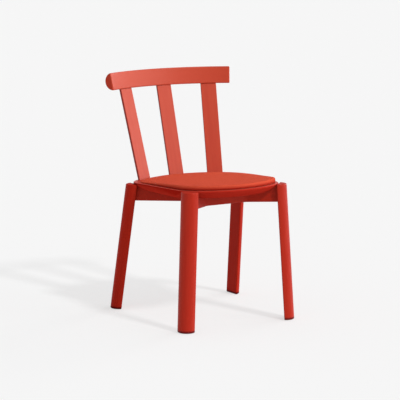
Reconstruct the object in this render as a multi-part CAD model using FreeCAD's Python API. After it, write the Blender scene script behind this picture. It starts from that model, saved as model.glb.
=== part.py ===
import FreeCAD, Part
import math
import os
from dataclasses import astuple, dataclass, replace
from FreeCAD import Placement, Rotation, Vector

# Upholstered wooden dining chair: half-round legs and crest, three flat slats, a bevelled seat on bent
# rails, and a thin fabric pad. Millimetres, +Z up, front toward -Y, left is -X.
# Heights are from the floor. Depths (y) are from near the middle of the seat, until the finished chair
# is moved so that its origin lies under the middle of its outline.

# Half-round wood, shared by legs and crest
BAR_CHORD = 58.2
BAR_DEPTH = 27.4
BAR_EDGE = 3.2

# Right-hand legs, each by the centre line of its flat face: its top from the seat's side, end and rim
# plane, its splay from top to foot, and the way its round side is turned from the front
FRONT_LEG_IN = 30.6
FRONT_LEG_BACK = 63.0
FRONT_LEG_DROP = 1.5
FRONT_LEG_SPLAY = (23.4, -16.3)
FRONT_LEG_TURN = 47.0
REAR_LEG_OUT = 2.2
REAR_LEG_FORWARD = 81.0
REAR_LEG_DROP = 6.0
REAR_LEG_SPLAY = (22.9, 75.2)
REAR_LEG_TURN = 96.0

# Foot glides and their nails
GLIDE_DIAMETER = 16.0
GLIDE_THICKNESS = 4.0
GLIDE_STAND = 1.0
GLIDE_INSET = 12.5
GLIDE_EDGE = 0.5
NAIL_DIAMETER = 2.4
NAIL_LENGTH = 18.0
NAIL_HEAD_DIAMETER = 6.0
NAIL_HEAD_THICKNESS = 1.2
NAIL_HEAD_DEPTH = 0.6

# Seat board: rim plane, outline of the rim, and outline of the underside that the bevel runs down to.
# The front arc's radius is the half width and SEAT_FRONT_BLUNT.
SEAT_HEIGHT = 440.2
SEAT_TILT = 2.4
SEAT_THICKNESS = 27.0
SEAT_LIP = 4.5
SEAT_RIM_EDGE = 2.5
SEAT_FRONT_Y = -247.0
SEAT_HALF_WIDTH = 193.0
SEAT_FRONT_BLUNT = 47.0
SEAT_SIDE_TAPER = 4.3
SEAT_FRONT_CORNER = 75.0
SEAT_REAR_CORNER = 83.0
SEAT_REAR_MARGIN = 8.5
BEVEL_FRONT = 36.0
BEVEL_SIDE = 23.0
BEVEL_REAR = 9.0
BEVEL_TAPER = 6.0
BEVEL_FRONT_CORNER = 15.0
BEVEL_REAR_CORNER = 10.0
BEVEL_BULGE_INSET = 0.35
BEVEL_BULGE_DEPTH = 0.52

# Bent rails under the seat: hub corners, section and bends
RAIL_WIDTH = 24.0
RAIL_BOTTOM = 60.3
RAIL_TOP = 6.0
RAIL_BEND = 34.0
RAIL_EDGE = 1.5
HUB_HALF_WIDTH = 76.0
HUB_FRONT_Y = -120.0
HUB_REAR_Y = 26.0
TIE_X = 48.0
TIE_WIDTH = 22.0

# Dowels and screws of the frame
LEG_DOWEL_DIAMETER = 10.0
LEG_DOWEL_IN_LEG = 14.0
LEG_DOWEL_IN_RAIL = 22.0
LEG_DOWEL_LOW = 10.0
LEG_DOWEL_SPACING = 15.0
HUB_DOWEL_DIAMETER = 8.0
HUB_DOWEL_IN_RAIL = 12.0
HUB_DOWEL_IN_TIE = 18.0
HUB_DOWEL_LOW = 8.0
HUB_DOWEL_SPACING = 14.0
SEAT_SCREW_X = 26.0
SEAT_SCREW_DIAMETER = 5.0
SEAT_SCREW_HEAD = 10.0
SEAT_SCREW_HEAD_HEIGHT = 3.5
SEAT_SCREW_SINK = 8.0
SEAT_SCREW_IN_SEAT = 15.0

# Back: slats from an arc on the seat to an arc in the crest, and the crest from seat and slat feet
SLAT_WIDTH = 53.0
SLAT_THICKNESS = 8.5
SLAT_EDGE = 1.6
SLAT_FOOT_Y = 195.0
SLAT_FOOT_RADIUS = 375.0
SLAT_FOOT_ANGLE = 20.85
SLAT_SET_BACK = 4.5
SLAT_TOP_ANGLE = 19.3
TENON_WIDTH = 44.0
TENON_THICKNESS = 5.5
TENON_IN_SEAT = 13.0
TENON_IN_CREST = 25.0
CREST_RISE = 287.4
CREST_BACK = 85.0
CREST_RADIUS = 469.5
CREST_RECLINE = 12.5
CREST_HALF_ANGLE = 28.1

# Seat pad: inset of its widest line from the rim, and its edge and crown above the rim plane
PAD_RIM = 8.0
PAD_SLAT_GAP = 4.0
PAD_REAR_CORNER = 100.0
PAD_RECESS = 4.5
PAD_RECESS_GAP = 1.2
PAD_EDGE_LOW = 0.5
PAD_PEAK = 13.3
PAD_PEAK_Y = -330.0
PAD_CROWN_RADIUS = 18000.0
PAD_DRAW_IN = 5.0
PAD_EDGE_ROUND = 4.2
PAD_EDGE_SHARE = 0.46
PAD_FABRIC = 1.0
PAD_FLANGE = 28.0
PAD_BASE_THICKNESS = 4.0
PAD_SCREWS = ((120.0, -60.0), (60.0, 110.0))
PAD_SCREW_DIAMETER = 5.0
PAD_SCREW_HEAD = 10.0
PAD_SCREW_HEAD_HEIGHT = 3.0
PAD_SCREW_SINK = 6.0
PAD_SCREW_PAST_BASE = 1.5
TEE_FLANGE_DIAMETER = 15.0
TEE_FLANGE_THICKNESS = 1.0
TEE_BARREL_DIAMETER = 7.5
STAPLE_COUNT = 24
STAPLE_CROWN = 10.0
STAPLE_WIRE = 0.6
STAPLE_IN_BASE = 3.0
STAPLE_FROM_EDGE = 14.0

# Clearances
GLUE_GAP = 0.15
SCREW_GAP = 0.25
SCRIBE_GAP = 0.3
HOLE_BOTTOM_GAP = 0.8

# Room added to cutting bodies, well beyond the piece that they cut
REACH = 400.0

UP = Vector(0, 0, 1)
SEAT_PLACE = Placement(Vector(0, 0, SEAT_HEIGHT), Rotation(Vector(1, 0, 0), -SEAT_TILT))
SEAT_FRONT_RADIUS = SEAT_HALF_WIDTH + SEAT_FRONT_BLUNT
SEAT_REAR_Y = SLAT_FOOT_Y + SLAT_THICKNESS + SEAT_REAR_MARGIN
CREST_BOTTOM_Z = SEAT_HEIGHT + CREST_RISE
CREST_FRONT_Y = SLAT_FOOT_Y + CREST_BACK


def rim_height(y):
    """Height of the seat's rim plane above the floor."""
    return SEAT_HEIGHT - y * math.tan(math.radians(SEAT_TILT))


@dataclass(frozen=True)
class Leg:
    """One leg's flat-face centre line and the way its round side faces."""

    foot: Vector
    top: Vector
    out: Vector

    def at(self, z):
        """Centre of the flat face at a height above the floor."""
        share = (z - self.foot.z) / (self.top.z - self.foot.z)
        return self.foot + (self.top - self.foot) * share

    def flat_frame(self):
        """Placement at the foot: X along the chord, Z up the leg, Y outward from the flat face."""
        along = (self.top - self.foot).normalize()
        chord = Vector(self.out.y, -self.out.x, 0)
        return Placement(self.foot, Rotation(chord, along.cross(chord), along, "ZXY"))

    def mirrored(self):
        """The same leg on the left-hand side."""
        flip = [Vector(-v.x, v.y, v.z) for v in (self.foot, self.top, self.out)]
        return Leg(*flip)


def plan_direction(turn):
    """Unit vector in plan, turned by degrees from -Y toward +X."""
    return Vector(math.sin(math.radians(turn)), -math.cos(math.radians(turn)), 0)


def right_leg(x, y, drop, splay, turn):
    """A right-hand leg from its top in plan, how far that lies below the rim plane, and its splay."""
    top = Vector(x, y, rim_height(y) - drop)
    return Leg(Vector(x + splay[0], y + splay[1], 0), top, plan_direction(turn))


RIGHT_LEGS = {
    "front": right_leg(
        SEAT_HALF_WIDTH - FRONT_LEG_IN, SEAT_FRONT_Y + FRONT_LEG_BACK,
        FRONT_LEG_DROP, FRONT_LEG_SPLAY, FRONT_LEG_TURN),
    "rear": right_leg(
        SEAT_HALF_WIDTH + REAR_LEG_OUT, SEAT_REAR_Y - REAR_LEG_FORWARD,
        REAR_LEG_DROP, REAR_LEG_SPLAY, REAR_LEG_TURN),
}


def legs_of(end):
    """Left and right legs of one end of the chair."""
    return RIGHT_LEGS[end].mirrored(), RIGHT_LEGS[end]


def largest(shape):
    """The largest solid of a shape."""
    return max(shape.Solids, key=lambda solid: solid.Volume)


def rod(start, direction, length, diameter):
    """A round rod from a point along a direction."""
    return Part.makeCylinder(diameter / 2, length, start, direction)


def group(solids):
    """Separate solids kept together in one node."""
    return Part.makeCompound(solids)


def half_round(flat_centre, chord, depth):
    """Half-round section: a flat along chord and an arc that bulges along depth."""
    start = flat_centre - chord * (BAR_CHORD / 2)
    end = flat_centre + chord * (BAR_CHORD / 2)
    crown = flat_centre + depth * BAR_DEPTH
    edges = [Part.makeLine(end, start), Part.Arc(start, crown, end).toShape()]
    return Part.Face(Part.Wire(edges))


def make_glide(leg):
    """A glide under one foot, with a seat for its nail."""
    centre = leg.foot + leg.out * GLIDE_INSET
    disc = rod(centre, UP, GLIDE_THICKNESS, GLIDE_DIAMETER)
    rim = [edge for edge in disc.Edges if edge.BoundBox.ZMax < GLIDE_STAND and edge.Closed]
    return disc.makeFillet(GLIDE_EDGE, rim).cut(make_nail(leg))


def make_nail(leg):
    """The nail that holds a glide: its head is sunk in the glide."""
    start = leg.foot + leg.out * GLIDE_INSET + UP * NAIL_HEAD_DEPTH
    head = rod(start, UP, NAIL_HEAD_THICKNESS, NAIL_HEAD_DIAMETER)
    return head.fuse(rod(start, UP, NAIL_LENGTH, NAIL_DIAMETER)).removeSplitter()


def make_leg(leg, dowel_holes):
    """A leg, with its glide's recess, its nail's hole and its dowel holes."""
    bottom = leg.at(GLIDE_STAND)
    chord = Vector(-leg.out.y, leg.out.x, 0)
    body = half_round(bottom, chord, leg.out).extrude(leg.top - bottom)
    body = body.makeFillet(BAR_EDGE, body.Edges)
    recess = rod(leg.foot + leg.out * GLIDE_INSET, UP, GLIDE_THICKNESS, GLIDE_DIAMETER + 2 * GLUE_GAP)
    for hole in [recess, make_nail(leg)] + dowel_holes:
        body = body.cut(hole)
    return largest(body)


@dataclass(frozen=True)
class Outline:
    """A closed outline of the seat or pad, in the seat's own frame.

    The front and rear are arcs about points on the centre line, the sides are straight, and the corners
    are arcs that touch both of their neighbours.
    """

    front_y: float
    front_radius: float
    half_width: float
    taper: float
    front_corner: float
    rear_corner: float
    rear_y: float
    rear_radius: float

    def inset(self, front, side=None, rear=None):
        """The same outline drawn in by amounts, the first of them all round if it stands alone."""
        side = front if side is None else side
        rear = front if rear is None else rear
        return Outline(
            self.front_y + front,
            self.front_radius - front,
            self.half_width - side / math.cos(math.radians(self.taper)),
            self.taper,
            self.front_corner - side,
            self.rear_corner - side,
            self.rear_y - rear,
            self.rear_radius - rear)

    def toward(self, other, share):
        """An outline part of the way from this one to another."""
        pairs = zip(astuple(self), astuple(other))
        return Outline(*[mine + (theirs - mine) * share for mine, theirs in pairs])

    def corner(self, centre, radius, fillet, sign):
        """Start, middle and end of a corner arc, from the end arc to the side line."""
        turn = math.radians(self.taper)
        normal = Vector(math.cos(turn), -math.sin(turn), 0)
        along = Vector(math.sin(turn), math.cos(turn), 0)
        foot = normal * (self.half_width * math.cos(turn) - fillet) - centre
        half = foot.dot(along)
        root = math.sqrt(half * half - foot.dot(foot) + (radius - fillet) ** 2)
        middle = centre + foot + along * (sign * root - half)
        outward = (middle - centre).normalize()
        between = middle + (outward + normal).normalize() * fillet
        return centre + outward * radius, between, middle + normal * fillet

    def wire(self, z):
        """The outline as a wire at a height."""
        front_centre = Vector(0, self.front_y + self.front_radius, 0)
        rear_centre = Vector(0, self.rear_y - self.rear_radius, 0)
        front = self.corner(front_centre, self.front_radius, self.front_corner, -1)
        rear = self.corner(rear_centre, self.rear_radius, self.rear_corner, 1)
        left_front = [Vector(-point.x, point.y, 0) for point in front]
        left_rear = [Vector(-point.x, point.y, 0) for point in rear]
        edges = [
            Part.Arc(left_front[0], Vector(0, self.front_y, 0), front[0]).toShape(),
            Part.Arc(*front).toShape(),
            Part.makeLine(front[2], rear[2]),
            Part.Arc(*reversed(rear)).toShape(),
            Part.Arc(rear[0], Vector(0, self.rear_y, 0), left_rear[0]).toShape(),
            Part.Arc(*left_rear).toShape(),
            Part.makeLine(left_rear[2], left_front[2]),
            Part.Arc(*reversed(left_front)).toShape(),
        ]
        wire = Part.Wire(edges)
        wire.translate(Vector(0, 0, z))
        return wire


RIM = Outline(
    SEAT_FRONT_Y, SEAT_FRONT_RADIUS, SEAT_HALF_WIDTH,
    SEAT_SIDE_TAPER, SEAT_FRONT_CORNER, SEAT_REAR_CORNER,
    SEAT_REAR_Y, SEAT_REAR_Y - SLAT_FOOT_Y + SLAT_FOOT_RADIUS)
UNDERSIDE = Outline(
    RIM.front_y + BEVEL_FRONT, RIM.front_radius - BEVEL_FRONT, RIM.half_width - BEVEL_SIDE,
    RIM.taper - BEVEL_TAPER, RIM.front_corner - BEVEL_FRONT_CORNER, RIM.rear_corner - BEVEL_REAR_CORNER,
    RIM.rear_y - BEVEL_REAR, RIM.rear_radius - BEVEL_REAR)
PAD = replace(
    RIM.inset(PAD_RIM, PAD_RIM, SLAT_THICKNESS + SEAT_REAR_MARGIN + PAD_SLAT_GAP),
    rear_corner=PAD_REAR_CORNER)
PAD_NECK = PAD.inset(PAD_DRAW_IN)


def slab(wire, height):
    """A prism on a flat outline."""
    return Part.Face(wire).extrude(Vector(0, 0, height))


def seat_blank(grow):
    """The seat board before its cuts, in the seat's own frame, grown by an amount at its edges."""
    rim = RIM.inset(-grow)
    under = UNDERSIDE.inset(-grow)
    bulge = rim.toward(under, BEVEL_BULGE_INSET)
    bulge_z = -SEAT_LIP - (SEAT_THICKNESS - SEAT_LIP) * BEVEL_BULGE_DEPTH
    wires = [rim.wire(-SEAT_LIP), bulge.wire(bulge_z), under.wire(-SEAT_THICKNESS)]
    bevel = Part.makeLoft(wires, True, False)
    return slab(rim.wire(0), -SEAT_LIP).fuse(bevel)


def edges_at(shape, z):
    """Edges that lie flat at a height in the shape's own frame."""
    near = 0.01
    return [e for e in shape.Edges if abs(e.BoundBox.ZMin - z) < near and abs(e.BoundBox.ZMax - z) < near]


def pad_form(shrink):
    """The pad's form, shrunk by an amount all round: a crowned puff with a rounded edge, on a neck.

    The crown is part of a large sphere whose peak lies in front of the pad, so the pad thins to the rear.
    """
    low = PAD_EDGE_LOW + shrink
    outline = PAD.inset(shrink)
    radius = PAD_CROWN_RADIUS - shrink
    centre = Vector(0, PAD_PEAK_Y, PAD_PEAK - PAD_CROWN_RADIUS)
    puff = largest(slab(outline.wire(low), PAD_PEAK).common(Part.makeSphere(radius, centre)))
    rear_top = centre.z + math.sqrt(radius ** 2 - (outline.rear_y - PAD_PEAK_Y) ** 2)
    middle_z = (low + rear_top) / 2
    rims = [e for e in puff.Edges if e.BoundBox.ZMin > middle_z or e.BoundBox.ZMax < middle_z]
    puff = puff.makeFillet(min(PAD_EDGE_ROUND - shrink, PAD_EDGE_SHARE * (rear_top - low)), rims)
    bottom = -PAD_RECESS + shrink
    neck = slab(PAD_NECK.inset(shrink).wire(bottom), middle_z - bottom)
    return largest(puff.fuse(neck).removeSplitter())


def layer(shape, low, high):
    """The part of a shape between two heights."""
    box = Part.makeBox(2 * REACH, 2 * REACH, high - low, Vector(-REACH, -REACH, low))
    return largest(shape.common(box))


def mirrored_points(points):
    """Points in plan on both sides of the middle."""
    return [Vector(side * x, y, 0) for x, y in points for side in (-1, 1)]


def make_screw(tip_z, head_z, head_height, diameter, head_diameter, point):
    """A screw that points up, from the underside of its head to its tip, in the seat's frame."""
    start = Vector(point.x, point.y, head_z)
    shank = rod(start, UP, tip_z - head_z, diameter)
    return shank.fuse(rod(start, UP, head_height, head_diameter)).removeSplitter()


def make_screw_hole(bottom_z, head_z, head_height, tip_z, diameter, head_diameter, point):
    """The counterbore and clearance hole for a screw, open at the bottom."""
    start = Vector(point.x, point.y, bottom_z)
    shank = rod(start, UP, tip_z - bottom_z, diameter)
    return shank.fuse(rod(start, UP, head_z + head_height - bottom_z, head_diameter))


def staple_frames():
    """Where each staple sits under the pad base: its middle and the way its crown lies."""
    wire = PAD_NECK.inset(STAPLE_FROM_EDGE).wire(-PAD_RECESS)
    points = wire.discretize(Number=2 * STAPLE_COUNT + 1)
    for i in range(STAPLE_COUNT):
        before, middle, after = points[2 * i], points[2 * i + 1], points[2 * i + 2]
        yield middle, (after - before).normalize()


def make_staple(middle, along):
    """A staple: a crown against the cover and two legs up into the base."""
    height = PAD_FABRIC + STAPLE_IN_BASE
    across = UP.cross(along)
    place = Placement(middle, Rotation(along, across, UP, "ZXY"))
    corner = Vector(-STAPLE_CROWN / 2, -STAPLE_WIRE / 2, 0)
    outer = Part.makeBox(STAPLE_CROWN, STAPLE_WIRE, height, corner)
    inner_corner = corner + Vector(STAPLE_WIRE, 0, STAPLE_WIRE)
    inner = Part.makeBox(STAPLE_CROWN - 2 * STAPLE_WIRE, STAPLE_WIRE, height, inner_corner)
    staple = outer.cut(inner)
    staple.Placement = place
    return staple


def make_pad():
    """Cover, foam, base and fastenings of the pad, in the seat's own frame."""
    base_low = -PAD_RECESS + PAD_FABRIC
    base_high = base_low + PAD_BASE_THICKNESS
    outer = pad_form(0)
    inner = pad_form(PAD_FABRIC)
    filling = pad_form(PAD_FABRIC + GLUE_GAP)
    window = slab(PAD_NECK.inset(PAD_FLANGE).wire(-PAD_RECESS), PAD_FABRIC)
    cover = outer.cut(inner).cut(window)
    base = layer(filling, base_low, base_high)
    foam = layer(filling, base_high, REACH)

    staples = [make_staple(*frame) for frame in staple_frames()]
    for staple in staples:
        cover = cover.cut(staple)
        base = base.cut(staple)

    tee_nuts = []
    screws = []
    head_z = -SEAT_THICKNESS + PAD_SCREW_SINK - PAD_SCREW_HEAD_HEIGHT
    tip_z = base_high + PAD_SCREW_PAST_BASE
    for point in mirrored_points(PAD_SCREWS):
        screws.append(make_screw(
            tip_z, head_z, PAD_SCREW_HEAD_HEIGHT, PAD_SCREW_DIAMETER, PAD_SCREW_HEAD, point))
        bore = rod(Vector(point.x, point.y, base_low), UP, REACH, PAD_SCREW_DIAMETER)
        barrel = rod(Vector(point.x, point.y, base_low), UP, PAD_BASE_THICKNESS, TEE_BARREL_DIAMETER)
        flange = rod(Vector(point.x, point.y, base_high), UP, TEE_FLANGE_THICKNESS, TEE_FLANGE_DIAMETER)
        nut = barrel.fuse(flange).removeSplitter()
        tip = rod(Vector(point.x, point.y, base_high), UP, PAD_SCREW_PAST_BASE, PAD_SCREW_DIAMETER)
        base = base.cut(nut)
        foam = foam.cut(nut).cut(tip)
        tee_nuts.append(nut.cut(bore))
    return {
        "pad_cover": largest(cover),
        "pad_foam": largest(foam),
        "pad_base": largest(base),
        "pad_tee_nuts": group(tee_nuts),
        "pad_screws": group(screws),
        "cover_staples": group(staples),
    }


def make_crest_blank():
    """The crest before its mortises: a half-round bar bent about an upright axis in front of it."""
    lean = math.radians(CREST_RECLINE)
    chord = Vector(0, math.sin(lean), math.cos(lean))
    depth = Vector(0, math.cos(lean), -math.sin(lean))
    bottom = Vector(0, CREST_FRONT_Y, CREST_BOTTOM_Z)
    section = half_round(bottom + chord * (BAR_CHORD / 2), chord, depth)
    axis = Vector(0, CREST_FRONT_Y - CREST_RADIUS, 0)
    section.rotate(axis, UP, -CREST_HALF_ANGLE)
    bar = section.revolve(axis, UP, 2 * CREST_HALF_ANGLE)
    return bar.makeFillet(BAR_EDGE, bar.Edges)


def crest_back():
    """How far back the crest reaches, from its half-round section."""
    lean = math.radians(CREST_RECLINE)
    radius = (BAR_CHORD ** 2 / 4 + BAR_DEPTH ** 2) / (2 * BAR_DEPTH)
    middle = CREST_FRONT_Y + math.sin(lean) * BAR_CHORD / 2
    return middle + math.cos(lean) * (BAR_DEPTH - radius) + radius


@dataclass(frozen=True)
class Slat:
    """One slat's frame: front centre at the foot, and unit vectors across, through and along it."""

    foot: Vector
    across: Vector
    through: Vector
    along: Vector
    length: float

    def bar(self, width, thickness, start, end):
        """A bar centred in the slat's section between two distances along it."""
        corner = Vector(-width / 2, (SLAT_THICKNESS - thickness) / 2, start)
        box = Part.makeBox(width, thickness, end - start, corner)
        box.Placement = Placement(self.foot, Rotation(self.across, self.through, self.along, "ZXY"))
        return box


def slat_at(side):
    """The slat on the left (-1), in the middle (0) or on the right (1)."""
    def on_arc(middle_y, radius, angle, z):
        """A point on an arc about the centre line, at an angle from its middle."""
        turn = math.radians(side * angle)
        return Vector(radius * math.sin(turn), middle_y - radius + radius * math.cos(turn), z)

    foot_z = rim_height(SLAT_FOOT_Y)
    foot = on_arc(SLAT_FOOT_Y, SLAT_FOOT_RADIUS, SLAT_FOOT_ANGLE, foot_z)
    top_y = CREST_FRONT_Y + SLAT_SET_BACK
    top = on_arc(top_y, CREST_RADIUS + SLAT_SET_BACK, SLAT_TOP_ANGLE, CREST_BOTTOM_Z)
    along = (top - foot).normalize()
    turn = math.radians(side * SLAT_FOOT_ANGLE)
    through = along.cross(Vector(math.cos(turn), -math.sin(turn), 0)).normalize()
    return Slat(foot, through.cross(along), through, along, (top - foot).Length)


def below_rim():
    """Everything below the seat's rim plane."""
    box = Part.makeBox(2 * REACH, 2 * REACH, REACH, Vector(-REACH, -REACH, -REACH))
    box.Placement = SEAT_PLACE.multiply(box.Placement)
    return box


def make_slat(slat, crest_blank):
    """A slat whose ends are scribed to the seat and crest, with a tenon at each end."""
    spare = BAR_CHORD / 2
    body = slat.bar(SLAT_WIDTH, SLAT_THICKNESS, -spare, slat.length + spare)
    long_edges = [e for e in body.Edges if e.Length > slat.length]
    body = body.makeFillet(SLAT_EDGE, long_edges)
    lowered = crest_blank.copy()
    lowered.translate(Vector(0, 0, -SCRIBE_GAP))
    body = largest(body.cut(lowered).cut(below_rim()))
    tenon = slat.bar(TENON_WIDTH, TENON_THICKNESS, -TENON_IN_SEAT, slat.length + TENON_IN_CREST)
    return largest(body.fuse(tenon).removeSplitter())


def make_mortises(slat):
    """The room for one slat's tenons in the seat and crest."""
    return slat.bar(
        TENON_WIDTH + 2 * GLUE_GAP,
        TENON_THICKNESS + 2 * GLUE_GAP,
        -TENON_IN_SEAT - HOLE_BOTTOM_GAP,
        slat.length + TENON_IN_CREST + HOLE_BOTTOM_GAP)


def rail_leg_point(leg):
    """Where a rail's centre line meets a leg's flat face, in the seat's own frame."""
    place = SEAT_PLACE.inverse()
    foot = place.multVec(leg.foot)
    top = place.multVec(leg.top)
    middle_z = -(RAIL_BOTTOM + RAIL_TOP) / 2
    share = (middle_z - foot.z) / (top.z - foot.z)
    point = foot + (top - foot) * share
    return Vector(point.x, point.y, 0)


def bent_strip(points, radius, width):
    """Flat face of a strip that follows points in plan, with arcs at the bends."""
    count = len(points)
    runs = [(points[i + 1] - points[i]).normalize() for i in range(count - 1)]

    def side_edges(shift):
        """Edges of one side of the strip, from its start to its end."""
        edges = []
        start = points[0] + UP.cross(runs[0]) * shift
        for i in range(1, count - 1):
            left_before = UP.cross(runs[i - 1])
            left_after = UP.cross(runs[i])
            turn = math.copysign(1.0, UP.dot(runs[i - 1].cross(runs[i])))
            half = runs[i - 1].getAngle(runs[i]) / 2
            to_centre = (left_before + left_after).normalize() * (turn * radius / math.cos(half))
            centre = points[i] + to_centre
            reach = radius - turn * shift
            enter = centre - left_before * (turn * reach)
            leave = centre - left_after * (turn * reach)
            crown = centre - (left_before + left_after).normalize() * (turn * reach)
            edges.append(Part.makeLine(start, enter))
            edges.append(Part.Arc(enter, crown, leave).toShape())
            start = leave
        end = points[-1] + UP.cross(runs[-1]) * shift
        edges.append(Part.makeLine(start, end))
        return edges, end

    left, left_end = side_edges(width / 2)
    right, right_end = side_edges(-width / 2)
    start_cap = Part.makeLine(left[0].Vertexes[0].Point, right[0].Vertexes[0].Point)
    end_cap = Part.makeLine(left_end, right_end)
    wire = Part.Wire(Part.__sortEdges__(left + [end_cap] + right + [start_cap]))
    return Part.Face(wire)


def arm_direction(leg, hub_y):
    """Unit vector, in the seat's own frame, from a rail's bend out to a leg."""
    point = rail_leg_point(leg)
    bend = Vector(math.copysign(HUB_HALF_WIDTH, point.x), hub_y, 0)
    return (point - bend).normalize()


def leg_dowel(leg, hub_y, row, extra):
    """A dowel, or with extra size its hole, along a rail's arm into a leg."""
    direction = arm_direction(leg, hub_y)
    z = -RAIL_BOTTOM + LEG_DOWEL_LOW + row * LEG_DOWEL_SPACING
    flat = leg.flat_frame()
    normal = SEAT_PLACE.inverse().Rotation.multVec(flat.Rotation.multVec(Vector(0, 1, 0)))
    on_flat = SEAT_PLACE.inverse().multVec(flat.Base)
    point = rail_leg_point(leg) + UP * z
    point = point + direction * (normal.dot(on_flat - point) / normal.dot(direction))
    ends = HOLE_BOTTOM_GAP if extra else 0
    start = point - direction * (LEG_DOWEL_IN_RAIL + ends)
    length = LEG_DOWEL_IN_RAIL + LEG_DOWEL_IN_LEG + 2 * ends
    shape = rod(start, direction, length, LEG_DOWEL_DIAMETER + 2 * extra)
    shape.Placement = SEAT_PLACE.multiply(shape.Placement)
    return shape


def leg_dowels(leg, hub_y, extra):
    """The two dowels, or holes, of one leg joint."""
    return [leg_dowel(leg, hub_y, row, extra) for row in (0, 1)]


def outside_flat(leg):
    """Everything on the outer side of a leg's flat face."""
    box = Part.makeBox(2 * REACH, REACH, 3 * REACH, Vector(-REACH, 0, -REACH))
    box.Placement = leg.flat_frame().multiply(box.Placement)
    return box


def make_rail(end, hub_y, seat_room, holes):
    """A bent rail from leg to leg, scribed under the seat and cut to the legs' flat faces."""
    right = RIGHT_LEGS[end]
    right_end = rail_leg_point(right) + arm_direction(right, hub_y) * BAR_CHORD
    points = [
        Vector(-right_end.x, right_end.y, 0),
        Vector(-HUB_HALF_WIDTH, hub_y, 0),
        Vector(HUB_HALF_WIDTH, hub_y, 0),
        right_end,
    ]
    face = bent_strip(points, RAIL_BEND, RAIL_WIDTH)
    face.translate(Vector(0, 0, -RAIL_BOTTOM))
    body = face.extrude(Vector(0, 0, RAIL_BOTTOM - RAIL_TOP))
    body = body.makeFillet(RAIL_EDGE, edges_at(body, -RAIL_BOTTOM))
    body = body.cut(seat_room)
    for hole in holes:
        body = body.cut(hole)
    body.Placement = SEAT_PLACE.multiply(body.Placement)
    for leg in legs_of(end):
        body = body.cut(outside_flat(leg))
        for hole in leg_dowels(leg, hub_y, GLUE_GAP):
            body = body.cut(hole)
    return largest(body)


def hub_dowel(side, face_y, into_tie, row, extra):
    """A dowel, or with extra size its hole, between a rail and a tie, in the seat's own frame."""
    ends = HOLE_BOTTOM_GAP if extra else 0
    z = -RAIL_BOTTOM + HUB_DOWEL_LOW + row * HUB_DOWEL_SPACING
    direction = Vector(0, into_tie, 0)
    start = Vector(side * TIE_X, face_y, z) - direction * (HUB_DOWEL_IN_RAIL + ends)
    length = HUB_DOWEL_IN_RAIL + HUB_DOWEL_IN_TIE + 2 * ends
    return rod(start, direction, length, HUB_DOWEL_DIAMETER + 2 * extra)


def hub_dowels(side, extra):
    """The four dowels, or holes, of one tie."""
    front_face = HUB_FRONT_Y + RAIL_WIDTH / 2
    rear_face = HUB_REAR_Y - RAIL_WIDTH / 2
    return [hub_dowel(side, face, into, row, extra)
            for face, into in ((front_face, 1), (rear_face, -1)) for row in (0, 1)]


def make_tie(side):
    """A short tie between the two rails, under the seat."""
    front_face = HUB_FRONT_Y + RAIL_WIDTH / 2
    rear_face = HUB_REAR_Y - RAIL_WIDTH / 2
    corner = Vector(side * TIE_X - TIE_WIDTH / 2, front_face, -RAIL_BOTTOM)
    body = Part.makeBox(TIE_WIDTH, rear_face - front_face, RAIL_BOTTOM - SEAT_THICKNESS, corner)
    for hole in hub_dowels(side, GLUE_GAP):
        body = body.cut(hole)
    return body


def seat_screw_points():
    """Where the seat screws pass through the rails."""
    return mirrored_points(((SEAT_SCREW_X, HUB_FRONT_Y), (SEAT_SCREW_X, HUB_REAR_Y)))


def make_frame():
    """Rails, ties, dowels and seat screws, placed under the seat."""
    seat_room = seat_blank(SCRIBE_GAP)
    head_z = -RAIL_BOTTOM + SEAT_SCREW_SINK - SEAT_SCREW_HEAD_HEIGHT
    tip_z = -SEAT_THICKNESS + SEAT_SCREW_IN_SEAT
    screws = [make_screw(
        tip_z, head_z, SEAT_SCREW_HEAD_HEIGHT, SEAT_SCREW_DIAMETER, SEAT_SCREW_HEAD, point)
        for point in seat_screw_points()]
    holes = [make_screw_hole(
        -RAIL_BOTTOM, head_z, SEAT_SCREW_HEAD_HEIGHT, 0,
        SEAT_SCREW_DIAMETER + 2 * SCREW_GAP, SEAT_SCREW_HEAD + 2 * SCREW_GAP, point)
        for point in seat_screw_points()]
    for side in (-1, 1):
        holes.extend(hub_dowels(side, GLUE_GAP))
    nodes = {
        "hub_tie_left": make_tie(-1),
        "hub_tie_right": make_tie(1),
        "hub_dowels": group(hub_dowels(-1, 0) + hub_dowels(1, 0)),
        "seat_screws": group(screws),
    }
    for shape in nodes.values():
        shape.Placement = SEAT_PLACE.multiply(shape.Placement)
    nodes["front_rail"] = make_rail("front", HUB_FRONT_Y, seat_room, holes)
    nodes["rear_rail"] = make_rail("rear", HUB_REAR_Y, seat_room, holes)
    return nodes


def make_seat_board(slats):
    """The seat board with its pad recess, screw holes and mortises."""
    body = seat_blank(0)
    body = body.makeFillet(SEAT_RIM_EDGE, edges_at(body, 0))
    body = body.cut(slab(PAD_NECK.inset(-PAD_RECESS_GAP).wire(-PAD_RECESS), PAD_RECESS))
    head_z = -SEAT_THICKNESS + PAD_SCREW_SINK - PAD_SCREW_HEAD_HEIGHT
    for point in mirrored_points(PAD_SCREWS):
        body = body.cut(make_screw_hole(
            -SEAT_THICKNESS, head_z, PAD_SCREW_HEAD_HEIGHT, 0,
            PAD_SCREW_DIAMETER + 2 * SCREW_GAP, PAD_SCREW_HEAD + 2 * SCREW_GAP, point))
    tip_z = -SEAT_THICKNESS + SEAT_SCREW_IN_SEAT
    for point in seat_screw_points():
        body = body.cut(rod(
            Vector(point.x, point.y, -SEAT_THICKNESS), UP, tip_z + SEAT_THICKNESS, SEAT_SCREW_DIAMETER))
    body.Placement = SEAT_PLACE.multiply(body.Placement)
    for slat in slats.values():
        body = body.cut(make_mortises(slat))
    return largest(body)


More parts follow.
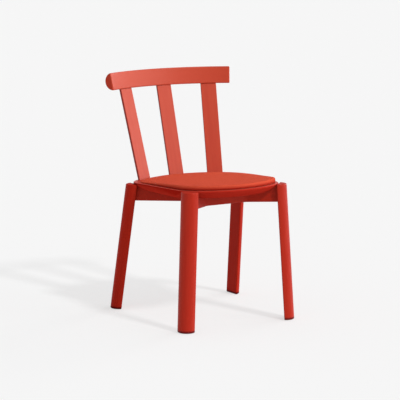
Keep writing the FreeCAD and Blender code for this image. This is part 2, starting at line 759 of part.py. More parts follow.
def make_back(slats):
    """The crest and its slats."""
    blank = make_crest_blank()
    crest = blank
    nodes = {}
    for name, slat in slats.items():
        crest = crest.cut(make_mortises(slat))
        nodes["slat_" + name] = make_slat(slat, blank)
    nodes["crest_rail"] = largest(crest)
    return nodes


def make_legs():
    """Legs, leg dowels, glides and nails."""
    nodes = {}
    glides = []
    nails = []
    for end, hub_y in (("front", HUB_FRONT_Y), ("rear", HUB_REAR_Y)):
        right = RIGHT_LEGS[end]
        body = make_leg(right, leg_dowels(right, hub_y, GLUE_GAP))
        nodes[f"{end}_right_leg"] = body
        nodes[f"{end}_left_leg"] = body.mirror(Vector(), Vector(1, 0, 0))
        dowels = []
        for leg in legs_of(end):
            dowels.extend(leg_dowels(leg, hub_y, 0))
            glides.append(make_glide(leg))
            nails.append(make_nail(leg))
        nodes[f"{end}_leg_dowels"] = group(dowels)
    nodes["foot_glides"] = group(glides)
    nodes["glide_nails"] = group(nails)
    return nodes


def make_chair():
    """Every node of the chair, by name."""
    slats = {"left": slat_at(-1), "middle": slat_at(0), "right": slat_at(1)}
    nodes = make_legs()
    nodes.update(make_frame())
    nodes.update(make_back(slats))
    nodes["seat_board"] = make_seat_board(slats)
    pad = make_pad()
    for shape in pad.values():
        shape.Placement = SEAT_PLACE.multiply(shape.Placement)
    nodes.update(pad)
    return nodes


def main():
    """Write one file per node, with the origin under the middle of the chair's outline."""
    os.makedirs("parts", exist_ok=True)
    to_middle = Vector(0, -(SEAT_FRONT_Y + crest_back()) / 2, 0)
    for name, shape in sorted(make_chair().items()):
        shape.translate(to_middle)
        valid = "valid" if shape.isValid() else "INVALID"
        print(f"{name}: {len(shape.Solids)} solids, {shape.Volume:.0f} mm3, {valid}")
        shape.exportStep(os.path.join("parts", name + ".step"))


main()
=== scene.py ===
"""Looks of an upholstered wooden dining chair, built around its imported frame.

Metres throughout, +Z up. The chair's front is toward -Y and its right-hand side toward +X.
"""

import logging
import math
from dataclasses import dataclass, field, replace
from enum import Enum

import bpy
import numpy as np
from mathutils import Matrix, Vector

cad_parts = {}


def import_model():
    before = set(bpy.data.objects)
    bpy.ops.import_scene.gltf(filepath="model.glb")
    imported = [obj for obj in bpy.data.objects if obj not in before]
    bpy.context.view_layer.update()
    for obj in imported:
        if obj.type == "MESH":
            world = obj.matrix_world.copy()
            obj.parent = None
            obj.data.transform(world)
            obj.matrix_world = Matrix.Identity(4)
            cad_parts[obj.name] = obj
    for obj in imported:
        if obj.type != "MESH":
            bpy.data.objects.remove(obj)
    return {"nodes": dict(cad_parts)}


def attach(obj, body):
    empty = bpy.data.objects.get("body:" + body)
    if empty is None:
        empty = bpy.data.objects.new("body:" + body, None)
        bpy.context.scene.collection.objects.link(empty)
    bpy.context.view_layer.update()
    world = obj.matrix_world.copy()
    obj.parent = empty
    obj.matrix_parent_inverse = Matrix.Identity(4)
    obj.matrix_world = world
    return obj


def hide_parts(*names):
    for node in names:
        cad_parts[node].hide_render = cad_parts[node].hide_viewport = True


LOG = logging.getLogger("chair")
BODY = "root"
FULLNESS = "fullness"
MM = 0.001

Colour = tuple[float, float, float]
Span = tuple[float, float]
Nodes = dict[str, bpy.types.Object]
Socket = bpy.types.NodeSocket


class Grain(Enum):
    """Which way the grain of a wooden piece runs."""

    LONGEST = "along the piece's longest direction"
    ACROSS = "from side to side"


def opaque(colour: Colour) -> tuple[float, float, float, float]:
    """The colour with full opacity."""
    return (*colour, 1.0)


def coated(colour: Colour, coats: float) -> tuple[float, float, float, float]:
    """The colour under so many coats in place of one, each channel to that power, as light is absorbed."""
    red, green, blue = colour
    return red ** coats, green ** coats, blue ** coats, 1.0


def vertices_of(node: bpy.types.Object) -> np.ndarray:
    """Read a node's vertices.

    Args:
        node: A mesh object whose place is in its mesh.

    Returns:
        An array of points, one row each.
    """
    flat = np.empty(len(node.data.vertices) * 3, np.float32)
    node.data.vertices.foreach_get("co", flat)
    return flat.reshape(-1, 3).astype(float)


def principal_axes(points: np.ndarray) -> np.ndarray:
    """Directions in which points spread, the widest first: singular vectors of the centred points."""
    return np.linalg.svd(points - points.mean(axis=0), full_matrices=False)[2]


@dataclass(frozen=True)
class Mottle:
    """Noise, by its features per metre, its layers of finer detail and the share of each layer."""

    per_metre: float
    detail: float
    rough: float


class Graph:
    """The node tree of one material or world, built in plain steps."""

    def __init__(self, tree: bpy.types.NodeTree) -> None:
        """Start an empty tree."""
        self.tree = tree
        self.tree.nodes.clear()

    def add(
        self, kind: str, inputs: dict[str | int, object] | None = None, **settings: object
    ) -> bpy.types.Node:
        """Add a node.

        Args:
            kind: The node's type, without the words that all shader nodes share.
            inputs: Values or output sockets for the node's inputs, by name or number.
            **settings: Attributes of the node.

        Returns:
            The node.
        """
        node = self.tree.nodes.new("ShaderNode" + kind)
        for name, value in settings.items():
            setattr(node, name, value)
        for name, value in (inputs or {}).items():
            if isinstance(value, Socket):
                self.tree.links.new(value, node.inputs[name])
            else:
                node.inputs[name].default_value = value
        return node

    def maths(self, operation: str, *values: object) -> Socket:
        """A number worked out from sockets or numbers."""
        return self.add("Math", dict(enumerate(values)), operation=operation).outputs[0]

    def vector_maths(self, operation: str, *values: object) -> bpy.types.Node:
        """A vector step on sockets or vectors."""
        return self.add("VectorMath", dict(enumerate(values)), operation=operation)

    def ramp(self, factor: object, span: Span, onto: Span = (0.0, 1.0)) -> Socket:
        """A smooth step of a factor from one span onto another."""
        values = dict(enumerate((factor, *span, *onto)))
        return self.add("MapRange", values, interpolation_type="SMOOTHSTEP").outputs[0]

    def mix(self, factor: object, first: object, second: object) -> Socket:
        """A colour between two colours."""
        return self.add("Mix", {0: factor, 6: first, 7: second}, data_type="RGBA").outputs[2]

    def noise(self, place: object, mottle: Mottle) -> Socket:
        """Noise between 0 and 1 at a place."""
        grade = {"Scale": mottle.per_metre, "Detail": mottle.detail, "Roughness": mottle.rough}
        return self.add("TexNoise", {"Vector": place, **grade}).outputs[0]


def new_material(name: str) -> tuple[bpy.types.Material, Graph]:
    """An empty material and its tree."""
    material = bpy.data.materials.new(name)
    material.use_nodes = True
    return material, Graph(material.node_tree)


def dress(piece: bpy.types.Object, material: bpy.types.Material) -> None:
    """Give a piece one material in place of all that it has."""
    piece.data.materials.clear()
    piece.data.materials.append(material)


@dataclass(frozen=True)
class LacquerFinish:
    """Opaque satin lacquer over open-grained wood: the grain shows as faint streaks and fine pores."""

    colour: Colour
    gloss: float
    sheen_tint: Colour = (1.0, 0.92, 0.82)
    roughness: Span = (0.40, 0.48)
    streaks: Mottle = Mottle(110.0, detail=4, rough=0.6)
    streak_stretch: float = 14.0
    streak_span: Span = (0.35, 0.65)
    streak_coats: float = 1.06
    pores: Mottle = Mottle(900.0, detail=2, rough=0.5)
    pore_stretch: float = 36.0
    pore_span: Span = (0.3, 0.7)
    pore_depth: float = 0.06 * MM
    facing_span: Span = (0.80, 0.95)
    end_coats: float = 1.2
    end_gloss: float = 0.35
    end_roughness: float = 0.10
    # Painted shade: narrow sides take this many coats, so they look darker, as if shaded.
    painted_side_shade_coats: float = 1.0
    top_span: Span = (0.4, 0.85)
    # Painted light: up-facing faces take fewer coats than one, so they look lighter, as if lit from above.
    painted_top_light_coats: float = 1.0
    top_gloss: float = 0.0
    # Painted contact shade: a band just above the floor is darkened by extra coats.
    painted_foot_shade_band: Span = (6.0 * MM, 11.5 * MM)
    painted_foot_shade_coats: float = 2.3

    def faces(self, graph: Graph, normal: Socket, way: np.ndarray) -> Socket:
        """One where the surface faces along a direction or against it, and zero elsewhere."""
        facing = graph.vector_maths("DOT_PRODUCT", normal, tuple(way)).outputs["Value"]
        return graph.ramp(graph.maths("ABSOLUTE", facing), self.facing_span)

    def grain(self, graph: Graph, along: Socket, stretch: float, mottle: Mottle) -> Socket:
        """Noise drawn out along the third direction."""
        drawn = graph.vector_maths("MULTIPLY", along, (1, 1, 1 / stretch)).outputs[0]
        return graph.noise(drawn, mottle)

    def material(self, name: str, axis: np.ndarray, side: np.ndarray, shift: float) -> bpy.types.Material:
        """Make the finish for one piece.

        The grain is noise drawn out along the axis: broad noise gives the streaks and fine noise the
        pores. Where the surface faces along the axis, the end grain shows darker and duller. Narrow sides
        may be painted darker, as shade, and a thin band just over the floor always is, as painted contact
        shade. Faces that look up may be glossier and are painted lighter, as painted light from above.

        Args:
            name: The piece that gets it.
            axis: Unit vector along the grain.
            side: Unit vector that the piece's narrow sides face along.
            shift: A distance along the grain, so that no two pieces show the same streaks.

        Returns:
            The material.
        """
        material, graph = new_material(f"lacquer_{name}")
        turn = Vector(axis).rotation_difference(Vector((0, 0, 1))).to_euler()
        coordinates = graph.add("TexCoord").outputs["Object"]
        values = {"Vector": coordinates, "Location": (shift, shift, shift), "Rotation": turn}
        along = graph.add("Mapping", values).outputs[0]
        streaks = self.grain(graph, along, self.streak_stretch, self.streaks)
        pores = self.grain(graph, along, self.pore_stretch, self.pores)
        normal = graph.add("NewGeometry").outputs["Normal"]
        end = self.faces(graph, normal, axis)
        # Mask of the narrow sides, which get painted shade.
        painted_side_shade = self.faces(graph, normal, side)
        # Mask of up-facing faces: painted light in the colour, and extra gloss.
        top = graph.ramp(graph.add("SeparateXYZ", {0: normal}).outputs[2], self.top_span)
        level = graph.add("SeparateXYZ", {0: coordinates}).outputs[2]
        # Painted contact shade in a band just above the floor.
        painted_foot_shade = graph.ramp(level, self.painted_foot_shade_band, (1.0, 0.0))

        light = graph.ramp(streaks, self.streak_span)
        shade = graph.mix(light, coated(self.colour, self.streak_coats), opaque(self.colour))
        parts = (end, painted_side_shade, top, painted_foot_shade)
        layers = (self.end_coats, self.painted_side_shade_coats, self.painted_top_light_coats, self.painted_foot_shade_coats)
        for part, coats in zip(parts, layers):
            shade = graph.mix(part, shade, coated(self.colour, coats))
        satin = graph.ramp(pores, self.pore_span, self.roughness)
        dull = graph.maths("MULTIPLY_ADD", end, self.end_roughness, satin)
        polish = graph.maths("MULTIPLY_ADD", top, self.top_gloss, self.gloss)
        shine = graph.maths("MULTIPLY", polish, graph.ramp(end, (0.0, 1.0), (1.0, self.end_gloss)))
        bump = graph.add("Bump", {"Strength": 1.0, "Distance": self.pore_depth, "Height": pores})
        shader = graph.add("BsdfPrincipled", {
            "Base Color": shade, "Roughness": dull, "Specular IOR Level": shine,
            "Specular Tint": opaque(self.sheen_tint), "Normal": bump.outputs[0]})
        graph.add("OutputMaterial", {"Surface": shader.outputs[0]})
        return material


# These are one red lacquer in lit and shaded copies, which is painted light and shade: the crest and slats
# are lighter, as if lit, and the front legs, seat board, rear legs and rails darker, as if shaded. Their
# gloss differs too.
CREST_LACQUER = LacquerFinish((0.47, 0.038, 0.011), gloss=0.40)
SLAT_LACQUER = replace(CREST_LACQUER, painted_side_shade_coats=2.0)
FRONT_LACQUER = LacquerFinish((0.41, 0.018, 0.006), gloss=0.17, roughness=(0.36, 0.44))
REAR_LACQUER = LacquerFinish((0.385, 0.017, 0.007), gloss=0.04)
RAIL_LACQUER = LacquerFinish((0.365, 0.017, 0.006), gloss=0.12)
BOARD_LACQUER = LacquerFinish((0.40, 0.022, 0.012), gloss=0.0, top_gloss=0.14, painted_top_light_coats=0.86)


@dataclass(frozen=True)
class WoolFinish:
    """Matte wool in plain weave: yarns of slightly uneven colour that pass over and under each other."""

    colour: Colour = (0.71, 0.096, 0.046)
    dark_yarn: Colour = (0.63, 0.076, 0.036)
    # Painted shade in the low places between the yarns.
    painted_weave_shade: Colour = (0.38, 0.033, 0.016)
    # Painted shade toward the crease under the pad's edge.
    painted_crease_shade: Colour = (0.36, 0.018, 0.008)
    painted_crease_shade_span: Span = (0.1, 1.0)
    yarn_pitch: float = 1.3 * MM
    yarn_depth: float = 0.25 * MM
    crossing_span: Span = (-0.1, 0.1)
    painted_weave_shade_span: Span = (0.0, 0.35)
    melange: Mottle = Mottle(260.0, detail=3, rough=0.6)
    melange_span: Span = (0.3, 0.7)
    warp_share: float = 0.25
    roughness: float = 0.92
    gloss: float = 0.05
    sheen: float = 0.20
    sheen_roughness: float = 0.5

    def material(self, name: str) -> bpy.types.Material:
        """Make the finish, on a UV map in metres along the cloth.

        Warp and weft are two waves. Their product says which of them is on top, as in a plain weave, and
        the height is that yarn's own rounded section. Where that height is low, between the yarns, the
        colour is painted darker as shade, and where the cloth's fullness falls it darkens to painted crease
        shade.

        Args:
            name: The piece that gets it.

        Returns:
            The material.
        """
        material, graph = new_material(f"wool_{name}")
        cloth = graph.add("TexCoord").outputs["UV"]
        split = graph.add("SeparateXYZ", {0: cloth})
        turns = math.pi / self.yarn_pitch
        across = graph.maths("SINE", graph.maths("MULTIPLY", split.outputs[0], turns))
        along = graph.maths("SINE", graph.maths("MULTIPLY", split.outputs[1], turns))
        over = graph.maths("MULTIPLY", across, along)
        height = graph.maths("ABSOLUTE", over)
        warp = graph.ramp(over, self.crossing_span)
        melange = graph.noise(cloth, self.melange)
        tone = graph.ramp(melange, self.melange_span, (0.0, 1.0 - self.warp_share))
        light = graph.maths("MULTIPLY_ADD", warp, self.warp_share, tone)
        yarn = graph.mix(light, opaque(self.dark_yarn), opaque(self.colour))
        # Painted shade where the weave's height is low, between the yarns.
        woven = graph.mix(graph.ramp(height, self.painted_weave_shade_span), opaque(self.painted_weave_shade), yarn)
        fullness = graph.add("Attribute", attribute_name=FULLNESS).outputs["Fac"]
        # Painted shade toward the crease, where the cloth's fullness falls.
        shade = graph.mix(graph.ramp(fullness, self.painted_crease_shade_span), opaque(self.painted_crease_shade), woven)
        bump = graph.add("Bump", {"Strength": 1.0, "Distance": self.yarn_depth, "Height": height})
        shader = graph.add("BsdfPrincipled", {
            "Base Color": shade, "Roughness": self.roughness, "Specular IOR Level": self.gloss,
            "Sheen Weight": self.sheen, "Sheen Roughness": self.sheen_roughness,
            "Sheen Tint": opaque(self.colour), "Normal": bump.outputs[0]})
        graph.add("OutputMaterial", {"Surface": shader.outputs[0]})
        return material


@dataclass(frozen=True)
class SpeckledFinish:
    """A plain hidden material whose colour and gloss vary with noise: steel, nylon or bare wood."""

    name: str
    colour: Colour
    second: Colour
    roughness: Span
    metal: float = 0.0
    spots: Mottle = Mottle(300.0, detail=3, rough=0.6)
    spot_span: Span = (0.3, 0.7)

    def material(self) -> bpy.types.Material:
        """Make the finish."""
        material, graph = new_material(self.name)
        place = graph.add("TexCoord").outputs["Object"]
        spots = graph.noise(place, self.spots)
        shade = graph.mix(spots, opaque(self.colour), opaque(self.second))
        satin = graph.ramp(spots, self.spot_span, self.roughness)
        shader = graph.add("BsdfPrincipled", {
            "Base Color": shade, "Roughness": satin, "Metallic": self.metal})
        graph.add("OutputMaterial", {"Surface": shader.outputs[0]})
        return material


ZINC = SpeckledFinish("zinc_plated_steel", (0.62, 0.62, 0.64), (0.50, 0.50, 0.53), (0.25, 0.40), 1.0)
NYLON = SpeckledFinish("black_nylon", (0.030, 0.030, 0.032), (0.045, 0.045, 0.047), (0.45, 0.60))
BEECH = SpeckledFinish("bare_beech", (0.62, 0.43, 0.26), (0.52, 0.34, 0.19), (0.60, 0.75))


@dataclass
class WoodFrame:
    """Legs, rails, ties, seat board, slats and crest: all of them carried over and lacquered."""

    shift: float = 0.37
    pieces: dict[str, tuple[Grain, LacquerFinish]] = field(default_factory=lambda: {
        "front_left_leg": (Grain.LONGEST, FRONT_LACQUER),
        "front_right_leg": (Grain.LONGEST, FRONT_LACQUER),
        "rear_left_leg": (Grain.LONGEST, REAR_LACQUER),
        "rear_right_leg": (Grain.LONGEST, REAR_LACQUER),
        "front_rail": (Grain.ACROSS, RAIL_LACQUER),
        "rear_rail": (Grain.ACROSS, RAIL_LACQUER),
        "hub_tie_left": (Grain.LONGEST, RAIL_LACQUER),
        "hub_tie_right": (Grain.LONGEST, RAIL_LACQUER),
        "seat_board": (Grain.ACROSS, BOARD_LACQUER),
        "slat_left": (Grain.LONGEST, SLAT_LACQUER),
        "slat_middle": (Grain.LONGEST, SLAT_LACQUER),
        "slat_right": (Grain.LONGEST, SLAT_LACQUER),
        "crest_rail": (Grain.ACROSS, CREST_LACQUER),
    })

    def build(self, nodes: Nodes) -> None:
        """Lacquer each wooden node with its grain along the piece.

        Args:
            nodes: The frame's nodes by name.
        """
        for number, (name, (grain, finish)) in enumerate(self.pieces.items()):
            node = nodes[name]
            axis, side = np.eye(3)[:2]
            if grain is Grain.LONGEST:
                axis, side = principal_axes(vertices_of(node))[:2]
            dress(node, finish.material(name, axis, side, number * self.shift))
            LOG.info("lacquered %s", name)


@dataclass
class Fittings:
    """Screws, nuts, nails, staples, dowels, pad base and glides: small or hidden, and carried over."""

    finishes: dict[str, SpeckledFinish] = field(default_factory=lambda: {
        "seat_screws": ZINC,
        "pad_screws": ZINC,
        "pad_tee_nuts": ZINC,
        "cover_staples": ZINC,
        "glide_nails": ZINC,
        "foot_glides": NYLON,
        "pad_base": BEECH,
        "front_leg_dowels": BEECH,
        "rear_leg_dowels": BEECH,
        "hub_dowels": BEECH,
    })

    def build(self, nodes: Nodes) -> None:
        """Give each fitting its material.

        Args:
            nodes: The frame's nodes by name.
        """
        made = {finish: finish.material() for finish in dict.fromkeys(self.finishes.values())}
        for name, finish in self.finishes.items():
            dress(nodes[name], made[finish])
            LOG.info("finished %s", name)


@dataclass
class SeatPlane:
    """The seat's rim plane: a point under the pad's middle, and unit vectors across, back and up."""

    origin: np.ndarray
    axes: np.ndarray

    @classmethod
    def of(cls, nodes: Nodes) -> "SeatPlane":
        """Find the plane from the frame.

        The pad's flat base gives the tilt, and the seat board's highest point over it gives the height.

        Args:
            nodes: The frame's nodes by name.

        Returns:
            The plane.
        """
        base = vertices_of(nodes["pad_base"])
        up = principal_axes(base)[2]
        up = up * np.sign(up[2])
        across = np.array((1.0, 0.0, 0.0))
        axes = np.array((across, np.cross(up, across), up))
        middle = (base.min(axis=0) + base.max(axis=0)) / 2
        rise = (vertices_of(nodes["seat_board"]) @ up).max() - middle @ up
        return cls(middle + up * rise, axes)

    def into(self, points: np.ndarray) -> np.ndarray:
        """Points of the frame in the plane's own directions."""
        return (points - self.origin) @ self.axes.T

    def out(self, points: np.ndarray) -> np.ndarray:
        """Points of the plane's own directions in the frame."""
        return points @ self.axes + self.origin


@dataclass
class SeatPad:
    """The upholstered pad: a thin puff with a rounded edge, drawn in to a neck that sits in the seat."""

    finish: WoolFinish = field(default_factory=WoolFinish)
    grid: int = 49
    edge_rings: int = 12
    outline_ways: int = 720
    outline_facing: float = 0.05
    crown_part: float = 3.0
    crown_fits: int = 6
    crown_near: float = 0.1 * MM
    edge_reach: float = 4.2 * MM
    under_reach: float = 2.0 * MM
    edge_low: float = 0.4 * MM
    draw_in: float = 1.5 * MM
    neck_inset: float = 6.0 * MM
    neck_bottom: float = -4.3 * MM
    slack: float = 0.9 * MM
    lean: float = 0.003
    corner_lean: float = 0.92
    evening: int = 60
    held_under: float = 0.01
    cap: float = 5.0 * MM
    pressure: float = 4.0
    frames: int = 20
    cloth_quality: int = 6
    cloth_mass: float = 0.3
    cloth_stretch: float = 20.0
    cloth_bend: float = 1.0
    fill: float = 0.85

    def outline(self, points: np.ndarray, bearing: np.ndarray) -> np.ndarray:
        """Distance from the middle to a convex outline, by direction.

        The outline is the least of h / cos over all directions, where h is how far the points reach.

        Args:
            points: Points in plan whose outer edge is the outline.
            bearing: Angles to measure at.

        Returns:
            One distance for each angle.
        """
        turns = np.linspace(-math.pi, math.pi, self.outline_ways, endpoint=False)
        reach = (points @ np.array((np.cos(turns), np.sin(turns)))).max(axis=0)
        facing = np.cos(bearing[:, None] - turns[None, :])
        least = self.outline_facing
        return np.where(facing > least, reach / np.maximum(facing, least), np.inf).min(axis=1)

    def crown(self, points: np.ndarray) -> np.ndarray:
        """Coefficients of the cover's top, height = a + b y + c (x x + y y).

        The first fit is to all upper points, and each later one only to the points on or over the last
        fit, so that the rounded edge and the cover's inner side drop out.

        Args:
            points: The cover's points in the plane's own directions.

        Returns:
            The coefficients a, b and c.
        """
        top = points[points[:, 2] > points[:, 2].max() / self.crown_part]
        for _ in range(self.crown_fits):
            terms = np.column_stack((np.ones(len(top)), top[:, 1], (top[:, :2] ** 2).sum(axis=1)))
            fit = np.linalg.lstsq(terms, top[:, 2], rcond=None)[0]
            top = top[top[:, 2] > terms @ fit - self.crown_near]
        return fit

    def height(self, crown: np.ndarray, plan: np.ndarray) -> np.ndarray:
        """Height over points in plan: the crown less s + y (l + k x x), the most at the rear corners."""
        across, back = plan[..., 0], plan[..., 1]
        slack = self.slack + back * (self.lean + self.corner_lean * across ** 2)
        return crown[0] + crown[1] * back + crown[2] * (plan ** 2).sum(axis=-1) - slack

    def disc(self) -> np.ndarray:
        """A square grid pressed into a unit disc: x = u sqrt(1 - v v / 2), y = v sqrt(1 - u u / 2)."""
        side = np.linspace(-1, 1, self.grid)
        u, v = np.meshgrid(side, side, indexing="ij")
        return np.stack((u * np.sqrt(1 - v * v / 2), v * np.sqrt(1 - u * u / 2)), axis=-1)

    def border(self) -> np.ndarray:
        """Numbers of the square grid's border points, in order round it, against the clock from above."""
        number = np.arange(self.grid * self.grid).reshape(self.grid, self.grid)
        return np.concatenate((number[:-1, 0], number[-1, :-1], number[:0:-1, -1], number[0, :0:-1]))

    def profile(self) -> tuple[np.ndarray, np.ndarray]:
        """How far in each edge ring lies, and how high from 0 to 1.

        With t from 0 to half a turn, a ring lies r (1 - sin t) in and (1 + cos t) / 2 high, with a smaller
        r below the widest place than above it. The last ring goes straight in to the neck.

        Returns:
            The insets and the levels, from the top's edge down.
        """
        turn = np.linspace(0, math.pi, self.edge_rings)[1:]
        reach = np.where(turn < math.pi / 2, self.edge_reach, self.under_reach)
        inset = np.append(reach * (1 - np.sin(turn)), self.neck_inset)
        return inset, np.append((1 + np.cos(turn)) / 2, 0.0)

    def surface(self, nodes: Nodes, plane: SeatPlane) -> tuple[np.ndarray, np.ndarray, np.ndarray]:
        """Work out the pad's points before it is filled, their place on the flat cloth and their freedom.

        The top is a pressed grid under the crown. Rings carry the profile round the outline from the top's
        edge down to the neck, and a second grid closes the bottom.

        Args:
            nodes: The frame's nodes by name.
            plane: The seat's rim plane.

        Returns:
            Points in the frame, their UV in metres, and how freely each can swell, from 0 to 1.
        """
        cover = plane.into(vertices_of(nodes["pad_cover"]))
        crown = self.crown(cover)
        disc = self.disc().reshape(-1, 2)
        bearing = np.arctan2(disc[:, 1], disc[:, 0])
        radius = self.outline(cover[:, :2], bearing) - self.draw_in
        rim = (disc * radius[:, None])[self.border()]
        along = np.roll(rim, -1, axis=0) - np.roll(rim, 1, axis=0)
        outward = np.column_stack((along[:, 1], -along[:, 0])) / np.linalg.norm(along, axis=1)[:, None]

        inner = disc * radius[:, None] * (1 - self.edge_reach / radius.mean())
        inner[self.border()] = rim - outward * self.edge_reach
        top = np.column_stack((inner, self.height(crown, inner)))

        inset, level = self.profile()
        rise = self.height(crown, rim) - self.edge_low
        ring_plan = rim[None] - outward[None] * inset[:, None, None]
        ring_height = self.edge_low + rise[None] * level[:, None]
        share = np.arange(1, self.edge_rings + 1) / self.edge_rings
        arc = share[:, None] * (rise + self.edge_reach + self.neck_inset)[None]
        rings = np.concatenate((ring_plan, ring_height[..., None]), axis=-1).reshape(-1, 3)
        ring_uv = (rim[None] + outward[None] * (arc[..., None] - self.edge_reach)).reshape(-1, 2)

        floor_plan = disc * (radius - self.neck_inset)[:, None]
        floor_plan[self.border()] = rim - outward * self.neck_inset
        floor = np.column_stack((floor_plan, np.full(len(disc), self.neck_bottom)))
        points = np.concatenate((top, rings, floor))
        ring_freedom = np.repeat(level, len(rim))
        freedom = np.concatenate((np.ones(len(top)), ring_freedom, np.zeros(len(floor))))
        return plane.out(points), np.concatenate((inner, ring_uv, floor_plan)), freedom

    def faces(self) -> np.ndarray:
        """Quads over the top grid, down the rings and over the bottom grid, all facing outwards."""
        count = self.grid * self.grid
        number = np.arange(count).reshape(self.grid, self.grid)
        corners = (number[:-1, :-1], number[1:, :-1], number[1:, 1:], number[:-1, 1:])
        top = np.stack(corners, axis=-1).reshape(-1, 4)
        border = self.border()
        rings = count + np.arange(self.edge_rings * len(border)).reshape(self.edge_rings, -1)
        floor_start = count + rings.size
        loops = np.concatenate((border[None], rings, border[None] + floor_start))
        beside = np.roll(loops, -1, axis=1)
        side = np.stack((loops[:-1], loops[1:], beside[1:], beside[:-1]), axis=-1).reshape(-1, 4)
        return np.concatenate((top, side, top[:, ::-1] + floor_start))

    def blow(self, piece: bpy.types.Object, held: np.ndarray) -> np.ndarray:
        """Blow the pad up with a cloth simulation.

        Args:
            piece: The pad.
            held: Numbers of the points that stay, as the staples hold the real cover.

        Returns:
            Where the simulation leaves each point.
        """
        group = piece.vertex_groups.new(name="held")
        group.add(held.tolist(), 1.0, "REPLACE")
        cloth = piece.modifiers.new("puff", "CLOTH")
        cloth.settings.quality = self.cloth_quality
        cloth.settings.mass = self.cloth_mass
        cloth.settings.tension_stiffness = self.cloth_stretch
        cloth.settings.compression_stiffness = self.cloth_stretch
        cloth.settings.bending_stiffness = self.cloth_bend
        cloth.settings.use_pressure = True
        cloth.settings.uniform_pressure_force = self.pressure
        cloth.settings.effector_weights.gravity = 0
        cloth.settings.vertex_group_mass = group.name
        cloth.collision_settings.use_collision = False
        cloth.point_cache.frame_end = self.frames
        scene = bpy.context.scene
        for number in range(1, self.frames + 1):
            scene.frame_set(number)
        blown = vertices_of(piece.evaluated_get(bpy.context.evaluated_depsgraph_get()))
        piece.modifiers.remove(cloth)
        piece.vertex_groups.remove(group)
        scene.frame_set(1)
        return blown

    def inflate(self, piece: bpy.types.Object, freedom: np.ndarray) -> None:
        """Swell the pad along its own normals.

        Each point goes out as far as the blown-up cloth does there, within the cap, evened out with its
        neighbours, and less where it is less free.

        Args:
            piece: The pad.
            freedom: How freely each point can swell, from 0 to 1.
        """
        start = vertices_of(piece)
        normals = np.empty(start.size, np.float32)
        piece.data.vertex_normals.foreach_get("vector", normals)
        outward = normals.reshape(-1, 3).astype(float)
        swell = np.full(len(start), self.cap)
        blown = self.blow(piece, np.flatnonzero(freedom < self.held_under))
        swell = ((blown - start) * outward).sum(axis=1)
        ends = np.empty(len(piece.data.edges) * 2, np.int32)
        piece.data.edges.foreach_get("vertices", ends)
        one, other = np.concatenate((ends.reshape(-1, 2), ends.reshape(-1, 2)[:, ::-1])).T
        beside = np.bincount(one)
        swell = np.clip(swell, 0, self.cap)
        for _ in range(self.evening):
            swell = (swell + np.bincount(one, swell[other]) / beside) / 2
        LOG.info("pad swells by up to %.1f mm", swell.max() / MM)
        kept = start + outward * (swell * freedom)[:, None]
        piece.data.vertices.foreach_set("co", kept.astype(np.float32).ravel())
        piece.data.update()

    def build(self, nodes: Nodes) -> bpy.types.Object:
        """Build the pad in place of its plain cover and foam.

        Args:
            nodes: The frame's nodes by name.

        Returns:
            The pad.
        """
        plane = SeatPlane.of(nodes)
        points, cloth, freedom = self.surface(nodes, plane)
        faces = self.faces()
        mesh = bpy.data.meshes.new("seat_pad")
        mesh.from_pydata(points.tolist(), [], faces.tolist())
        layer = mesh.uv_layers.new(name="cloth")
        layer.data.foreach_set("uv", cloth[faces.ravel()].astype(np.float32).ravel())
        fullness = mesh.attributes.new(FULLNESS, "FLOAT", "POINT")
        fullness.data.foreach_set("value", freedom.astype(np.float32))
        mesh.shade_smooth()
        piece = bpy.data.objects.new("seat_pad", mesh)
        bpy.context.scene.collection.objects.link(piece)
        self.inflate(piece, freedom)
        smooth = piece.modifiers.new("smooth", "SUBSURF")
        smooth.levels = 1
        smooth.render_levels = 1
        dress(piece, self.finish.material("pad"))
        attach(piece, BODY)
        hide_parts("pad_cover", "pad_foam")
        LOG.info("built seat_pad")
        return piece


@dataclass(frozen=True)
class SoftSun:
    """A far light with a broad disc, by degrees to the right of the front and above the floor."""

    name: str
    bearing: float
    height: float
    strength: float
    spread: float
    distance: float = 4.0

    def toward(self) -> Vector:
        """Unit vector toward the light."""
        across = math.radians(self.bearing)
        up = math.radians(self.height)
        return Vector((math.sin(across) * math.cos(up), -math.cos(across) * math.cos(up), math.sin(up)))

    def build(self) -> None:
        """Hang the light."""
        lamp = bpy.data.lights.new(self.name, "SUN")
        lamp.energy = self.strength
        lamp.angle = math.radians(self.spread)
        sun = bpy.data.objects.new(self.name, lamp)
        toward = self.toward()
        sun.location = toward * self.distance
        sun.rotation_mode = "QUATERNION"
        sun.rotation_quaternion = toward.to_track_quat("Z", "Y")
        bpy.context.scene.collection.objects.link(sun)


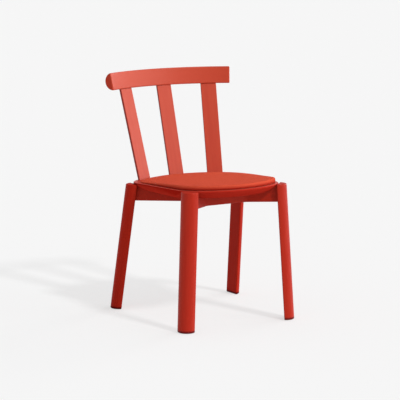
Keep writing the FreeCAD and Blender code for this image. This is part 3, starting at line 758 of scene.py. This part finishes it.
@dataclass
class Studio:
    """Pale floor, soft light from the front right, and the camera at the photograph's place."""

    paper: float = 0.923
    paper_glow: float = 0.589
    floor_albedo: float = 0.32
    bounce_albedo: float = 0.85
    floor_size: float = 60.0
    lamps: tuple[SoftSun, ...] = (
        SoftSun("key", bearing=15.0, height=46.0, strength=1.46, spread=7.5),
        SoftSun("window", bearing=48.0, height=12.0, strength=1.33, spread=46.0),
        SoftSun("side", bearing=97.0, height=11.0, strength=1.7, spread=46.0),
    )
    fill_level: float = 0.50
    camera_place: tuple[float, float, float] = (-2.9712, -5.2201, 1.4341)
    camera_target: tuple[float, float, float] = (-0.0169, -0.0238, 0.3779)
    lens: float = 167.19
    sensor: float = 36.0

    def seen(self, graph: Graph) -> Socket:
        """One where the camera looks, straight or by gloss or glass, and zero where matte light bounces."""
        path = graph.add("LightPath").outputs
        sharp = graph.maths("MAXIMUM", path["Is Camera Ray"], path["Is Transmission Ray"])
        return graph.maths("MAXIMUM", sharp, path["Is Glossy Ray"])

    def build_floor(self) -> None:
        """Lay a pale floor that keeps a faint shadow."""
        half = self.floor_size / 2
        corners = [(-half, -half, 0), (half, -half, 0), (half, half, 0), (-half, half, 0)]
        mesh = bpy.data.meshes.new("studio_floor")
        mesh.from_pydata(corners, [], [(0, 1, 2, 3)])
        floor = bpy.data.objects.new("studio_floor", mesh)
        bpy.context.scene.collection.objects.link(floor)
        material, graph = new_material("studio_paper")
        glow = graph.add("Emission", {"Color": opaque((self.paper_glow,) * 3), "Strength": 1.0})
        matte = graph.add("BsdfDiffuse", {"Color": opaque((self.floor_albedo,) * 3)})
        both = graph.add("AddShader", {0: glow.outputs[0], 1: matte.outputs[0]})
        bounce = graph.add("BsdfDiffuse", {"Color": opaque((self.bounce_albedo,) * 3)})
        chosen = graph.add("MixShader", {0: self.seen(graph), 1: bounce.outputs[0], 2: both.outputs[0]})
        graph.add("OutputMaterial", {"Surface": chosen.outputs[0]})
        dress(floor, material)

    def build_world(self) -> None:
        """Surround the chair with a dim even room."""
        world = bpy.data.worlds.new("studio_room")
        bpy.context.scene.world = world
        world.use_nodes = True
        graph = Graph(world.node_tree)
        light = graph.add("Background", {"Color": opaque((self.fill_level,) * 3), "Strength": 1.0})
        paper = graph.add("Background", {"Color": opaque((self.paper,) * 3), "Strength": 1.0})
        chosen = graph.add("MixShader", {0: self.seen(graph), 1: light.outputs[0], 2: paper.outputs[0]})
        graph.add("OutputWorld", {"Surface": chosen.outputs[0]})

    def build_camera(self) -> None:
        """Place the camera."""
        lens = bpy.data.cameras.new("camera")
        lens.lens = self.lens
        lens.sensor_width = self.sensor
        lens.clip_end = 2 * self.floor_size
        camera = bpy.data.objects.new("camera", lens)
        camera.location = self.camera_place
        camera.rotation_mode = "QUATERNION"
        view = Vector(self.camera_target) - Vector(self.camera_place)
        camera.rotation_quaternion = view.to_track_quat("-Z", "Y")
        bpy.context.scene.collection.objects.link(camera)
        bpy.context.scene.camera = camera

    def build(self) -> None:
        """Set up floor, light and camera."""
        bpy.context.scene.view_settings.view_transform = "Standard"
        self.build_floor()
        self.build_world()
        for lamp in self.lamps:
            lamp.build()
        self.build_camera()
        LOG.info("studio is set")


def main() -> None:
    """Load the frame, dress it and set the studio up."""
    logging.basicConfig(level=logging.INFO, format="%(name)s: %(message)s")
    nodes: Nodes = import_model()["nodes"]
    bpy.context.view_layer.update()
    WoodFrame().build(nodes)
    Fittings().build(nodes)
    SeatPad().build(nodes)
    Studio().build()


if __name__ == "__main__":
    main()
